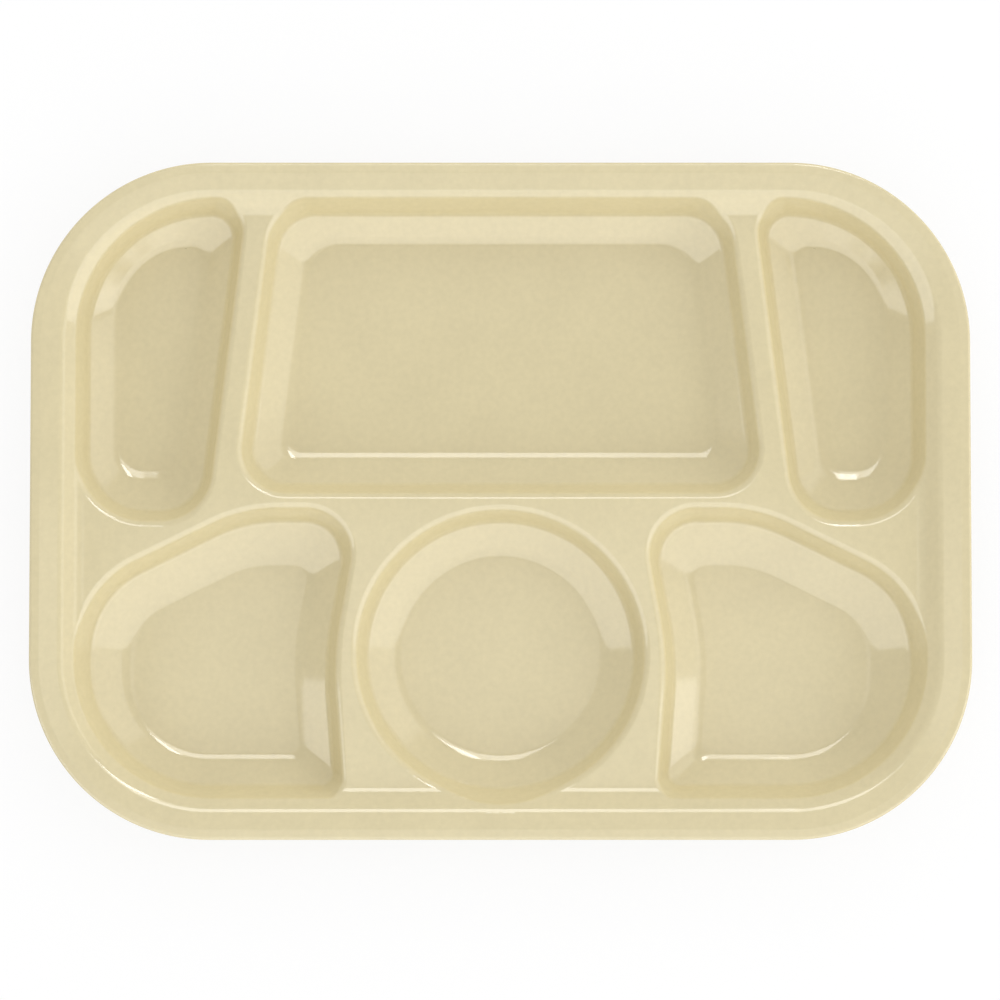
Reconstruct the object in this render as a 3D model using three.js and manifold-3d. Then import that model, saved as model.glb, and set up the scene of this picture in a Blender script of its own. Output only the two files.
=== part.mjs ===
// Six-compartment serving tray: one thin moulded shell, built here as its named regions.
// Millimetres, +Z up, X across the tray, +Y towards its far side.
// The origin is under the middle of the tray, on the surface that it stands on.
import * as THREE from 'three';
import { mergeVertices } from 'three/addons/utils/BufferGeometryUtils.js';
import Module from 'manifold-3d';

const DEGREE = Math.PI / 180;

// Outline and shell
const TRAY_WIDTH = 356;
const TRAY_DEPTH = 256.5;
const TRAY_CORNER_RADIUS = 68;
const SHELL = 3;
const SEAM_GAP = 0.3;

// Rim section, from the outer edge inwards: rounded edge, top, roll, slope and foot on the deck
const EDGE_RADIUS = 3.5;
const EDGE_SKIRT = 1.5;
const RIM_TOP_WIDTH = 5.9;
const RIM_TOP_FALL = 5 * DEGREE;
const RIM_ROLL_RADIUS = 6;
const RIM_SLOPE_ANGLE = 35 * DEGREE;
const RIM_SLOPE_RUN = 3.1;
const RIM_FOOT_RADIUS = 7;

// Wall section of every well: concave foot, straight wall and rounded lip
const WELL_DEPTH = 15;
const WALL_ANGLE = 68 * DEGREE;
const WALL_FOOT_RADIUS = 17;
const LIP_RADIUS = 4;

// Layout of the wells on the deck, given at the sharp lips
const WELL_INSET = 15;
const MAIN_NEAR_Y = 3.6;
const ROW_WEB = 7.9;
const CUP_FAR_WEB = 8.8;
const CUP_SIDE_WEB = 8.5;
const SIDE_WEB = 9.5;
const SIDE_WEB_FROM_FIELD = 67.2;
const SIDE_WEB_Y = 76;
const SIDE_WEB_LEAN = 0.124;
const SIDE_NEAR_WEB = 3.7;
const CORNER_FAR_RUN = 38.5;
const CORNER_OUTER_Y = -35.8;
const CORNER_FAR_FLARE = 8.1;
const CORNER_NEAR_FLARE = 4.1;

// Widths of the walls, from the lip to the flat floor
const MAIN_NEAR_WALL = 17.5;
const MAIN_SIDE_WALL = 21.5;
const MAIN_FAR_WALL = 15;
const SIDE_NEAR_WALL = 20.6;
const SIDE_OUTER_WALL = 20;
const SIDE_FAR_WALL = 15.5;
const SIDE_INNER_WALL = 16.5;
const CORNER_NEAR_WALL = 17.5;
const CORNER_OUTER_WALL = 24;
const CORNER_FAR_WALL = 21.5;
const CORNER_INNER_WALL = 17.5;
const CUP_WALL = 17.5;

// Corner radii of the wells, each at the lip and at the floor
const MAIN_NEAR_ROUND = { lip: 17, floor: 5 };
const MAIN_FAR_ROUND = { lip: 17, floor: 12 };
const SIDE_NEAR_OUTER_ROUND = { lip: 26, floor: 9 };
const SIDE_NEAR_INNER_ROUND = { lip: 20, floor: 8 };
const SIDE_FAR_INNER_ROUND = { lip: 6.5, floor: 4 };
const SIDE_FAR_OUTER_FLOOR_ROUND = 28;
const CORNER_NEAR_INNER_ROUND = { lip: 6.5, floor: 4 };
const CORNER_WAIST_ROUND = { lip: 115, floor: 100 };
const CORNER_FAR_INNER_ROUND = { lip: 17, floor: 5 };
const CORNER_BEND_ROUND = { lip: 38, floor: 25 };
const CORNER_OUTER_ROUND = { lip: 17, floor: 15 };
const CORNER_NEAR_OUTER_FLOOR_ROUND = 28;

// Facets
const CORNER_STEPS = 8;
const CUP_STEPS = 48;
const RIM_CORNER_STEPS = 12;
const BEND_STEPS = 3;
const WALL_FOOT_STEPS = 4;
const SOLVE_STEPS = 40;

// Finish of the moulding
const MELAMINE_COLOUR = 0xded2ac;
const MELAMINE_ROUGHNESS = 0.18;
const MELAMINE_METALNESS = 0;

const FLOOR_Z = SHELL;
const DECK_Z = FLOOR_Z + WELL_DEPTH;
const FIELD_X = TRAY_WIDTH / 2 - WELL_INSET;
const FIELD_Y = TRAY_DEPTH / 2 - WELL_INSET;
const FIELD_ROUND = TRAY_CORNER_RADIUS - WELL_INSET;
const SIDE_WEB_X = FIELD_X - SIDE_WEB_FROM_FIELD;

const wasm = await Module();
wasm.setup();

// Solids

function toSolid(geometry) {
  const bare = geometry.clone();
  bare.deleteAttribute('normal');
  bare.deleteAttribute('uv');
  const merged = mergeVertices(bare);
  return new wasm.Manifold(new wasm.Mesh({
    numProp: 3,
    vertProperties: Float32Array.from(merged.attributes.position.array),
    triVerts: Uint32Array.from(merged.index.array),
  }));
}

function toGeometry(solid) {
  const mesh = solid.getMesh();
  const geometry = new THREE.BufferGeometry();
  geometry.setAttribute('position', new THREE.BufferAttribute(mesh.vertProperties, 3));
  geometry.setIndex(new THREE.BufferAttribute(mesh.triVerts, 1));
  geometry.computeVertexNormals();
  return geometry;
}

// A ring swept through closed sections; each section runs outwards on top and back below
function ringGeometry(sections) {
  const points = sections[0].length;
  const positions = sections.flat().flatMap((point) => point.toArray());
  const index = [];
  sections.forEach((section, i) => {
    const here = i * points;
    const next = ((i + 1) % sections.length) * points;
    section.forEach((point, j) => {
      const k = (j + 1) % points;
      index.push(here + j, here + k, next + k, here + j, next + k, next + j);
    });
  });
  const geometry = new THREE.BufferGeometry();
  geometry.setAttribute('position', new THREE.Float32BufferAttribute(positions, 3));
  geometry.setIndex(index);
  geometry.computeVertexNormals();
  return geometry;
}

function plateGeometry(outline, bottom, top) {
  const plate = new THREE.ExtrudeGeometry(new THREE.Shape(outline), { depth: top - bottom, bevelEnabled: false });
  return plate.translate(0, 0, bottom);
}

// Outlines

function corner(x, y, round, wall) {
  return { point: new THREE.Vector2(x, y), lip: round.lip, floor: round.floor, wall };
}

// Moves each side of a closed outline inwards by the wall that starts at its first corner
function floorCorners(corners) {
  const sides = corners.map((from, i) => {
    const to = corners[(i + 1) % corners.length];
    const along = to.point.clone().sub(from.point).normalize();
    const inwards = new THREE.Vector2(-along.y, along.x);
    return { start: from.point.clone().addScaledVector(inwards, from.wall), along };
  });
  return sides.map((side, i) => {
    const before = sides[(i + sides.length - 1) % sides.length];
    const gap = side.start.clone().sub(before.start);
    const reach = gap.cross(side.along) / before.along.cross(side.along);
    return before.start.clone().addScaledVector(before.along, reach);
  });
}

// Rounds every corner of a closed outline; two roundings share a side that is too short for both
function roundedOutline(points, radii) {
  const count = points.length;
  const bends = points.map((point, i) => {
    const back = points[(i + count - 1) % count].clone().sub(point).normalize();
    const ahead = points[(i + 1) % count].clone().sub(point).normalize();
    const half = Math.acos(back.dot(ahead)) / 2;
    return { point, back, ahead, half, reach: radii[i] / Math.tan(half) };
  });
  const shares = bends.map((bend, i) => {
    const next = bends[(i + 1) % count];
    return Math.min(1, bend.point.distanceTo(next.point) / (bend.reach + next.reach));
  });
  return bends.flatMap((bend, i) => {
    const share = Math.min(shares[i], shares[(i + count - 1) % count]);
    const reach = bend.reach * share;
    const middle = bend.back.clone().add(bend.ahead).normalize();
    const centre = bend.point.clone().addScaledVector(middle, reach / Math.cos(bend.half));
    const start = bend.point.clone().addScaledVector(bend.back, reach);
    const turn = Math.sign(bend.ahead.cross(bend.back)) * (Math.PI - 2 * bend.half);
    return Array.from({ length: CORNER_STEPS + 1 }, (_, step) => (
      start.clone().rotateAround(centre, (turn * step) / CORNER_STEPS)
    ));
  });
}

function wellOutlines(corners) {
  return {
    lip: roundedOutline(corners.map((c) => c.point), corners.map((c) => c.lip)),
    floor: roundedOutline(floorCorners(corners), corners.map((c) => c.floor)),
  };
}

function mirrored(outlines) {
  const flip = (points) => points.map((point) => new THREE.Vector2(-point.x, point.y)).reverse();
  return { lip: flip(outlines.lip), floor: flip(outlines.floor) };
}

function circle(centreY, radius) {
  return Array.from({ length: CUP_STEPS }, (_, step) => {
    const angle = (2 * Math.PI * step) / CUP_STEPS;
    return new THREE.Vector2(radius * Math.cos(angle), centreY + radius * Math.sin(angle));
  });
}

// Rim and deck, as one bowl whose height depends on the distance in from the outer edge

function bowlStations() {
  const stations = [{ inset: EDGE_RADIUS, drop: 0, slope: 0 }];
  const run = (width, fall, slope) => {
    const last = stations.at(-1);
    stations.push({ inset: last.inset + width, drop: last.drop + fall, slope });
  };
  const bend = (radius, from, to, steps) => {
    for (let step = 1; step <= steps; step += 1) {
      const start = from + ((to - from) * (step - 1)) / steps;
      const end = from + ((to - from) * step) / steps;
      const width = radius * Math.abs(Math.sin(end) - Math.sin(start));
      run(width, radius * Math.abs(Math.cos(end) - Math.cos(start)), end);
    }
  };
  bend(EDGE_RADIUS, 0, RIM_TOP_FALL, 1);
  run(RIM_TOP_WIDTH, RIM_TOP_WIDTH * Math.tan(RIM_TOP_FALL), RIM_TOP_FALL);
  bend(RIM_ROLL_RADIUS, RIM_TOP_FALL, RIM_SLOPE_ANGLE, BEND_STEPS);
  run(RIM_SLOPE_RUN, RIM_SLOPE_RUN * Math.tan(RIM_SLOPE_ANGLE), RIM_SLOPE_ANGLE);
  bend(RIM_FOOT_RADIUS, RIM_SLOPE_ANGLE, 0, BEND_STEPS);
  return stations;
}

const BOWL = bowlStations();
const RIM_FOOT_INSET = BOWL.at(-1).inset;
const CREST_Z = DECK_Z + BOWL.at(-1).drop;

// Distance in from the outer edge of the tray
function insetAt(x, y) {
  const pastX = Math.abs(x) - (TRAY_WIDTH / 2 - TRAY_CORNER_RADIUS);
  const pastY = Math.abs(y) - (TRAY_DEPTH / 2 - TRAY_CORNER_RADIUS);
  const round = Math.hypot(Math.max(pastX, 0), Math.max(pastY, 0));
  return TRAY_CORNER_RADIUS - round - Math.min(Math.max(pastX, pastY), 0);
}

// Heights of the bowl's upper and lower face at a point
function bowlAt(point) {
  const inset = insetAt(point.x, point.y);
  const level = (station) => ({
    top: CREST_Z - station.drop,
    bottom: CREST_Z - station.drop - SHELL / Math.cos(station.slope),
  });
  const after = BOWL.findIndex((station) => station.inset > inset);
  if (after < 0) {
    return level(BOWL.at(-1));
  }
  if (after === 0) {
    return level(BOWL[0]);
  }
  const low = level(BOWL[after - 1]);
  const high = level(BOWL[after]);
  const share = (inset - BOWL[after - 1].inset) / (BOWL[after].inset - BOWL[after - 1].inset);
  return {
    top: THREE.MathUtils.lerp(low.top, high.top, share),
    bottom: THREE.MathUtils.lerp(low.bottom, high.bottom, share),
  };
}

// Plan points of the tray's outline, moved in by an inset, with the same count at every inset
function trayOutline(inset) {
  const radius = TRAY_CORNER_RADIUS - inset;
  const centreX = TRAY_WIDTH / 2 - TRAY_CORNER_RADIUS;
  const centreY = TRAY_DEPTH / 2 - TRAY_CORNER_RADIUS;
  const corners = [[1, 1], [-1, 1], [-1, -1], [1, -1]];
  return corners.flatMap(([signX, signY], quarter) => (
    Array.from({ length: RIM_CORNER_STEPS + 1 }, (_, step) => {
      const angle = (Math.PI / 2) * (quarter + step / RIM_CORNER_STEPS);
      return new THREE.Vector2(
        signX * centreX + radius * Math.cos(angle),
        signY * centreY + radius * Math.sin(angle),
      );
    })
  ));
}

function rimGeometry() {
  const edge = Array.from({ length: BEND_STEPS }, (_, step) => {
    const angle = (Math.PI / 2) * (step / BEND_STEPS);
    return { inset: EDGE_RADIUS * (1 - Math.cos(angle)), z: CREST_Z - EDGE_RADIUS * (1 - Math.sin(angle)) };
  });
  const skirtZ = CREST_Z - EDGE_RADIUS - EDGE_SKIRT;
  const top = BOWL.map((station) => ({ inset: station.inset, z: CREST_Z - station.drop }));
  const bottom = BOWL.map((station) => ({
    inset: station.inset,
    z: CREST_Z - station.drop - SHELL / Math.cos(station.slope),
  }));
  const section = [
    ...top.reverse(), ...edge.reverse(),
    { inset: 0, z: skirtZ }, { inset: SHELL, z: skirtZ }, { inset: SHELL, z: CREST_Z - EDGE_RADIUS },
    ...bottom,
  ];
  const rings = section.map((station) => trayOutline(station.inset));
  return ringGeometry(rings[0].map((_, i) => (
    section.map((station, j) => new THREE.Vector3(rings[j][i].x, rings[j][i].y, station.z))
  )));
}

// Wells

const WALL_FOOT_RUN = WALL_FOOT_RADIUS * Math.sin(WALL_ANGLE);
const WALL_FOOT_RISE = WALL_FOOT_RADIUS * (1 - Math.cos(WALL_ANGLE));
const WALL_RUN = WALL_FOOT_RUN + (WELL_DEPTH - WALL_FOOT_RISE) / Math.tan(WALL_ANGLE);

// How far past the lip at deck height the straight wall runs before it meets the bowl
function climb(lip, outwards, rise) {
  let low = 0;
  let high = WELL_INSET;
  for (let step = 0; step < SOLVE_STEPS; step += 1) {
    const middle = (low + high) / 2;
    const bowl = bowlAt(lip.clone().addScaledVector(outwards, middle));
    if (DECK_Z + middle * rise > bowl.top) {
      high = middle;
    } else {
      low = middle;
    }
  }
  return high;
}

// Section of a well's wall between a floor point and its lip point, with the plan line that it follows.
// The wall's profile is stretched in plan to the wall's own width there.
function wallSection(floor, lip) {
  const width = floor.distanceTo(lip);
  const outwards = lip.clone().sub(floor).divideScalar(width);
  const stretch = width / WALL_RUN;
  const rise = Math.tan(WALL_ANGLE) / stretch;
  const lean = Math.atan(rise);
  const place = (run, z) => {
    const plan = floor.clone().addScaledVector(outwards, run);
    return new THREE.Vector3(plan.x, plan.y, z);
  };
  const stations = Array.from({ length: WALL_FOOT_STEPS + 1 }, (_, step) => {
    const angle = (WALL_ANGLE * step) / WALL_FOOT_STEPS;
    return {
      run: WALL_FOOT_RADIUS * Math.sin(angle) * stretch,
      z: FLOOR_Z + WALL_FOOT_RADIUS * (1 - Math.cos(angle)),
      slope: Math.atan(Math.tan(angle) / stretch),
    };
  });
  const past = climb(lip, outwards, rise);
  const lipRun = width + past;
  const lipZ = DECK_Z + past * rise;
  const collarRun = lipRun + LIP_RADIUS * Math.tan(lean / 2);
  const collar = bowlAt(floor.clone().addScaledVector(outwards, collarRun));
  const deckSlope = Math.atan((collar.top - lipZ) / (collarRun - lipRun));
  const tangent = LIP_RADIUS * Math.tan((lean - deckSlope) / 2);
  const wallTop = { run: lipRun - tangent * Math.cos(lean), z: lipZ - tangent * Math.sin(lean), slope: lean };
  const half = (lean + deckSlope) / 2;
  const lipTop = place(
    wallTop.run + LIP_RADIUS * (Math.sin(lean) - Math.sin(half)),
    wallTop.z + LIP_RADIUS * (Math.cos(half) - Math.cos(lean)),
  );
  stations.push(wallTop);
  const upper = stations.map(({ run, z }) => place(run, z));
  const lower = stations.map(({ run, z, slope }) => (
    place(run + SHELL * Math.sin(slope), z - SHELL * Math.cos(slope))
  ));
  return {
    points: [...upper, lipTop, place(collarRun, collar.top), place(collarRun, collar.bottom), ...lower.reverse()],
    floorPlan: floor.clone().addScaledVector(outwards, -SEAM_GAP),
    cutPlan: floor.clone().addScaledVector(outwards, collarRun + SEAM_GAP),
  };
}

const CUP_RADIUS = (MAIN_NEAR_Y - CUP_FAR_WEB + FIELD_Y) / 2;
const CUP_Y = CUP_RADIUS - FIELD_Y;
const WAIST_X = CUP_RADIUS + CUP_SIDE_WEB;
const CORNER_FAR_Y = MAIN_NEAR_Y - ROW_WEB;
const CORNER_BEND_X = WAIST_X - CORNER_FAR_FLARE + CORNER_FAR_RUN;

// Middle line of the web beside the main well, moved sideways by an offset
function sideWebX(y, offset) {
  return SIDE_WEB_X + (SIDE_WEB_Y - y) * SIDE_WEB_LEAN + offset * Math.hypot(1, SIDE_WEB_LEAN);
}

// Near side of a side well, a web away from the sloping side of the corner well below it
function sideNearY() {
  const slope = (CORNER_OUTER_Y - CORNER_FAR_Y) / (FIELD_X - CORNER_BEND_X);
  const along = sideWebX(MAIN_NEAR_Y, SIDE_WEB / 2) - CORNER_BEND_X;
  return CORNER_FAR_Y + along * slope + SIDE_NEAR_WEB;
}

function mainOutlines() {
  const nearX = sideWebX(MAIN_NEAR_Y, -SIDE_WEB / 2);
  const farX = sideWebX(FIELD_Y, -SIDE_WEB / 2);
  return wellOutlines([
    corner(-nearX, MAIN_NEAR_Y, MAIN_NEAR_ROUND, MAIN_NEAR_WALL),
    corner(nearX, MAIN_NEAR_Y, MAIN_NEAR_ROUND, MAIN_SIDE_WALL),
    corner(farX, FIELD_Y, MAIN_FAR_ROUND, MAIN_FAR_WALL),
    corner(-farX, FIELD_Y, MAIN_FAR_ROUND, MAIN_SIDE_WALL),
  ]);
}

function leftSideOutlines() {
  const farOuterRound = { lip: FIELD_ROUND, floor: SIDE_FAR_OUTER_FLOOR_ROUND };
  const nearY = sideNearY();
  return wellOutlines([
    corner(-FIELD_X, nearY, SIDE_NEAR_OUTER_ROUND, SIDE_NEAR_WALL),
    corner(-sideWebX(nearY, SIDE_WEB / 2), nearY, SIDE_NEAR_INNER_ROUND, SIDE_INNER_WALL),
    corner(-sideWebX(FIELD_Y, SIDE_WEB / 2), FIELD_Y, SIDE_FAR_INNER_ROUND, SIDE_FAR_WALL),
    corner(-FIELD_X, FIELD_Y, farOuterRound, SIDE_OUTER_WALL),
  ]);
}

function leftCornerOutlines() {
  const nearOuterRound = { lip: FIELD_ROUND, floor: CORNER_NEAR_OUTER_FLOOR_ROUND };
  return wellOutlines([
    corner(-FIELD_X, -FIELD_Y, nearOuterRound, CORNER_NEAR_WALL),
    corner(CORNER_NEAR_FLARE - WAIST_X, -FIELD_Y, CORNER_NEAR_INNER_ROUND, CORNER_INNER_WALL),
    corner(-WAIST_X, CUP_Y, CORNER_WAIST_ROUND, CORNER_INNER_WALL),
    corner(CORNER_FAR_FLARE - WAIST_X, CORNER_FAR_Y, CORNER_FAR_INNER_ROUND, CORNER_FAR_WALL),
    corner(-CORNER_BEND_X, CORNER_FAR_Y, CORNER_BEND_ROUND, CORNER_FAR_WALL),
    corner(-FIELD_X, CORNER_OUTER_Y, CORNER_OUTER_ROUND, CORNER_OUTER_WALL),
  ]);
}

const WELLS = {
  main_well: mainOutlines(),
  left_side_well: leftSideOutlines(),
  right_side_well: mirrored(leftSideOutlines()),
  cup_well: { lip: circle(CUP_Y, CUP_RADIUS), floor: circle(CUP_Y, CUP_RADIUS - CUP_WALL) },
  left_corner_well: leftCornerOutlines(),
  right_corner_well: mirrored(leftCornerOutlines()),
};

// The tray

const tray = new THREE.Group();

function addPiece(name, geometry) {
  const melamine = new THREE.MeshStandardMaterial({
    color: MELAMINE_COLOUR,
    roughness: MELAMINE_ROUGHNESS,
    metalness: MELAMINE_METALNESS,
  });
  const piece = new THREE.Mesh(geometry, melamine);
  piece.name = name;
  tray.add(piece);
}

let rim = toSolid(rimGeometry());
let web = toSolid(plateGeometry(trayOutline(RIM_FOOT_INSET + SEAM_GAP), DECK_Z - SHELL, DECK_Z));

for (const [name, outlines] of Object.entries(WELLS)) {
  const sections = outlines.floor.map((floor, i) => wallSection(floor, outlines.lip[i]));
  addPiece(`${name}_wall`, ringGeometry(sections.map((section) => section.points)));
  addPiece(`${name}_floor`, plateGeometry(sections.map((section) => section.floorPlan), 0, FLOOR_Z));
  const cut = toSolid(plateGeometry(sections.map((section) => section.cutPlan), -SHELL, CREST_Z + SHELL));
  rim = rim.subtract(cut);
  web = web.subtract(cut);
}

addPiece('rim', toGeometry(rim));
addPiece('divider_web', toGeometry(web));

export default tray;
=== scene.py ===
"""Looks of the six-compartment serving tray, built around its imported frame.

The tray is one glossy melamine moulding. Every piece here stands for one region of it and meets its
neighbours edge to edge with shared normals, so the surface runs on without a seam. Lengths inside the
classes are millimetres, +Z up, +Y towards the far side; meshes are written in metres.
"""

import logging
import math
from dataclasses import dataclass
from enum import Enum
from functools import cached_property
from typing import Any, Callable, Union

import bpy
import numpy as np
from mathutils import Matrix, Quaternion, Vector
from mathutils.geometry import delaunay_2d_cdt


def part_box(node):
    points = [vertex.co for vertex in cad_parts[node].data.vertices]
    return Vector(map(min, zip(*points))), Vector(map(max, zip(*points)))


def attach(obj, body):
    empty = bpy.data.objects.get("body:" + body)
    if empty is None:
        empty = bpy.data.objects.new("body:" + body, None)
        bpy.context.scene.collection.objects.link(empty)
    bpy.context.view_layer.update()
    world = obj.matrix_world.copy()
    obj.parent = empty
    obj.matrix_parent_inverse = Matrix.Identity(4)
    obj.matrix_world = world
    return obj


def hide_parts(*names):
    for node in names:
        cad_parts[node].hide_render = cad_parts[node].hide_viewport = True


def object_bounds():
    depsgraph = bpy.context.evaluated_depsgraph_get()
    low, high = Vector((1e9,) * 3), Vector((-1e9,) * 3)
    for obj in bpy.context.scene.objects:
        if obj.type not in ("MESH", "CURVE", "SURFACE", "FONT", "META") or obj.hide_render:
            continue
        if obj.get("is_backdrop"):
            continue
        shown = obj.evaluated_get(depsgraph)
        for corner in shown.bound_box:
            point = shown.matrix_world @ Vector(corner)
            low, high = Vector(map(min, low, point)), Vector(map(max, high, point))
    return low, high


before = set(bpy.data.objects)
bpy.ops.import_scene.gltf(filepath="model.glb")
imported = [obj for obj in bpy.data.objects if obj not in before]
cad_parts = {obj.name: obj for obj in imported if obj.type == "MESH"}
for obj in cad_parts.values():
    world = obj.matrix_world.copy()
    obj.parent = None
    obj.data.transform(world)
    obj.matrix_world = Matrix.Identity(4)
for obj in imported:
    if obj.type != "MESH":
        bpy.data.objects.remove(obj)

LOG = logging.getLogger("tray")
METRE = 0.001
ROOT_BODY = "root"
PHOTO_WIDTH_PX = 1000
SOLVE_STEPS = 40
TINY = 1e-9

# The pieces part along the middle of the narrow seam that the solids keep between them.
HALF_SEAM = 0.15

MID_NOISE = 0.5
MIX_SHARE, MIX_FIRST, MIX_SECOND = 0, 6, 7
MIX_COLOUR = 2

Plan = np.ndarray
Colour = tuple[float, float, float]
Round = tuple[float, float]


class WellName(Enum):
    """The six compartments, by the stem of their nodes' names."""

    MAIN = "main_well"
    LEFT_SIDE = "left_side_well"
    RIGHT_SIDE = "right_side_well"
    CUP = "cup_well"
    LEFT_CORNER = "left_corner_well"
    RIGHT_CORNER = "right_corner_well"


def unit(vectors: np.ndarray) -> np.ndarray:
    """Rows scaled to length one."""
    return vectors / np.maximum(np.linalg.norm(vectors, axis=-1, keepdims=True), TINY)


def cross_plan(first: Plan, second: Plan) -> np.ndarray:
    """Signed area spanned by each pair of plan vectors."""
    return first[:, 0] * second[:, 1] - first[:, 1] * second[:, 0]


def raised(plan: Plan, height: np.ndarray) -> np.ndarray:
    """Plan points with their heights, as rows of x, y and z."""
    return np.column_stack((plan, np.broadcast_to(height, len(plan))))


def bisect(low: np.ndarray, high: np.ndarray, too_far: Callable[[np.ndarray], np.ndarray]) -> np.ndarray:
    """Closes in on the values where a test turns true.

    Args:
        low: Values where the test is false.
        high: Values where the test is true.
        too_far: The test, for one value in each place.

    Returns:
        The values where it turns.
    """
    for _ in range(SOLVE_STEPS):
        middle = (low + high) / 2
        past = too_far(middle)
        high = np.where(past, middle, high)
        low = np.where(past, low, middle)
    return high


def inside(points: Plan, loop: Plan) -> np.ndarray:
    """Tells which points lie inside a closed loop.

    Args:
        points: Plan points to test.
        loop: Plan points of the loop.

    Returns:
        One truth value for each point.
    """
    result = np.zeros(len(points), bool)
    for (x0, y0), (x1, y1) in zip(loop, np.roll(loop, -1, axis=0)):
        if y0 == y1:
            continue
        spans = (points[:, 1] < y0) != (points[:, 1] < y1)
        result ^= spans & (points[:, 0] < x0 + (points[:, 1] - y0) * (x1 - x0) / (y1 - y0))
    return result


def distance_to_loop(points: Plan, loop: Plan) -> np.ndarray:
    """Shortest distance from each point to a closed loop.

    Args:
        points: Plan points to measure from.
        loop: Plan points of the loop.

    Returns:
        One distance for each point.
    """
    nearest = np.full(len(points), np.inf)
    for start, end in zip(loop, np.roll(loop, -1, axis=0)):
        along = end - start
        share = np.clip((points - start) @ along / max(along @ along, TINY), 0.0, 1.0)
        nearest = np.minimum(nearest, np.linalg.norm(points - start - share[:, None] * along, axis=1))
    return nearest


def ring_tangents(points: np.ndarray) -> np.ndarray:
    """Tangents along closed rings of unevenly spaced points.

    Args:
        points: Array of points, with the rings along its first axis.

    Returns:
        Unit tangents, in the same layout.
    """
    ahead = np.roll(points, -1, axis=0) - points
    back = points - np.roll(points, 1, axis=0)
    step_ahead = np.maximum(np.linalg.norm(ahead, axis=-1, keepdims=True), TINY)
    step_back = np.maximum(np.linalg.norm(back, axis=-1, keepdims=True), TINY)
    return unit(ahead / step_ahead * step_back + back / step_back * step_ahead)


@dataclass(frozen=True)
class TrayOutline:
    """Outer outline of the tray: a rectangle with round corners."""

    width: float
    depth: float
    corner_radius: float = 68.0
    corner_steps: int = 40
    side_spacing: float = 3.0

    @property
    def centres(self) -> np.ndarray:
        """Distance of the corner centres from the middle, along X and Y."""
        return np.array([self.width, self.depth]) / 2 - self.corner_radius

    def inset(self, plan: Plan) -> np.ndarray:
        """Distance in from the outer edge.

        Args:
            plan: Plan points.

        Returns:
            One distance for each point.
        """
        past = np.abs(plan) - self.centres
        rounded = np.linalg.norm(np.maximum(past, 0.0), axis=1)
        return self.corner_radius - rounded - np.minimum(past.max(axis=1), 0.0)

    def inwards(self, plan: Plan) -> Plan:
        """Direction away from the nearest stretch of the outer edge.

        Args:
            plan: Plan points.

        Returns:
            One unit plan vector for each point.
        """
        past = np.abs(plan) - self.centres
        reach = np.maximum(past, 0.0)
        on_side = np.eye(2)[past.argmax(axis=1)]
        reach = np.where(reach.any(axis=1)[:, None], reach, on_side)
        return -np.sign(plan) * unit(reach)

    def loop(self, inset: float) -> Plan:
        """Closed outline moved in by an inset, with the same count of points at every inset.

        Args:
            inset: Distance in from the outer edge.

        Returns:
            Plan points, anticlockwise.
        """
        radius = self.corner_radius - inset
        arcs = []
        for quarter, signs in enumerate(((1, 1), (-1, 1), (-1, -1), (1, -1))):
            angle = (quarter + np.linspace(0.0, 1.0, self.corner_steps + 1)) * math.pi / 2
            arcs.append(self.centres * signs + radius * np.column_stack((np.cos(angle), np.sin(angle))))
        points = []
        for arc, ahead in zip(arcs, arcs[1:] + arcs[:1]):
            cuts = math.ceil(np.linalg.norm(ahead[0] - arc[-1]) / self.side_spacing)
            share = np.linspace(0.0, 1.0, cuts + 1)[1:-1, None]
            points += [arc, arc[-1] + share * (ahead[0] - arc[-1])]
        return np.concatenate(points)


@dataclass(frozen=True)
class RimSection:
    """Section of the rim, from the outer edge inwards; angles in degrees."""

    edge_radius: float = 1.1
    edge_skirt: float = 3.9
    skirt_round: float = 0.7
    land_inset: float = 3.5
    crown_radius: float = 8.0
    top_width: float = 6.0
    top_fall: float = 5.0
    roll_radius: float = 6.0
    slope_angle: float = 35.0
    slope_run: float = 3.1
    foot_radius: float = 7.0
    bend_steps: int = 10

    def stations(self) -> np.ndarray:
        """Stations of the upper face, from the flat land to the deck.

        Returns:
            Rows of inset, drop below the crest and slope in radians.
        """
        fall = math.radians(self.top_fall)
        steep = math.radians(self.slope_angle)
        rows = [np.array([[self.land_inset, 0.0, 0.0]])]
        for size, start, end in (
            (self.crown_radius, 0.0, fall),
            (self.top_width, fall, fall),
            (self.roll_radius, fall, steep),
            (self.slope_run, steep, steep),
            (self.foot_radius, steep, 0.0),
        ):
            inset, drop, _ = rows[-1][-1]
            slope = np.linspace(start, end, self.bend_steps + 1)[1:]
            if start == end:
                run = size * np.linspace(0.0, 1.0, self.bend_steps + 1)[1:]
                sink = run * math.tan(start)
            else:
                run = size * np.abs(np.sin(slope) - math.sin(start))
                sink = size * np.abs(np.cos(slope) - math.cos(start))
            rows.append(np.column_stack((inset + run, drop + sink, slope)))
        return np.concatenate(rows)


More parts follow.
